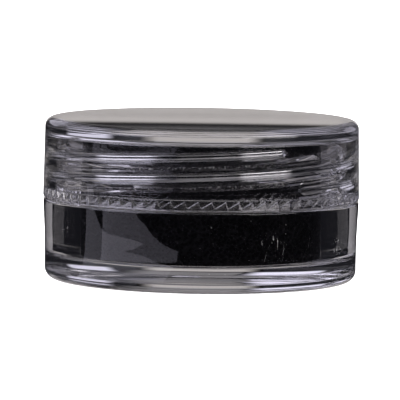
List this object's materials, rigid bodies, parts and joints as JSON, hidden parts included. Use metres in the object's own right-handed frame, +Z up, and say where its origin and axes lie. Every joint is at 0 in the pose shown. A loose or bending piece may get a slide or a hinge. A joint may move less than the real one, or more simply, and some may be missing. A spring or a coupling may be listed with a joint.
{
  "type": "screw-top sample vial",
  "caption": "Squat clear screw-top sample vial: thick-walled cup and lid on a coarse thread, saw teeth in the lid's rim, a sealing disc and a black foam plug in the bore.",
  "frame": {"origin": "centre of the foot, on the plane the vial stands on", "axes": "+Z up along the vial's axis, from the foot to the lid; +X to the right and +Y to the back, by the side from which the cup thread's upper end shows front right"},
  "size_m": [0.03, 0.03, 0.0153],
  "materials": {
    "clear_cup": "polished clear polystyrene",
    "clear_lid": "polished clear polystyrene",
    "clear_disc": "clear soft plastic",
    "black_foam": "matte"
  },
  "bodies": {
    "cup": {"vial_cup": "clear_cup", "foam_insert": "black_foam"},
    "disc": {"sealing_disc": "clear_disc"},
    "lid": {"screw_lid": "clear_lid"}
  },
  "joints": [
    {"name": "lid_rise", "type": "slide", "parent": "cup", "child": "disc", "axis": [0, 0, 1], "range_m": [0, 0.0075]},
    {"name": "lid_turn", "type": "hinge", "parent": "disc", "child": "lid", "pos_m": [0, 0, 0.0153], "axis": [0, 0, 1], "range_deg": [0, 720]}
  ],
  "couplings": [
    {"joint": "lid_rise", "follows": "lid_turn", "m_per_rad": 0.00058887}
  ]
}
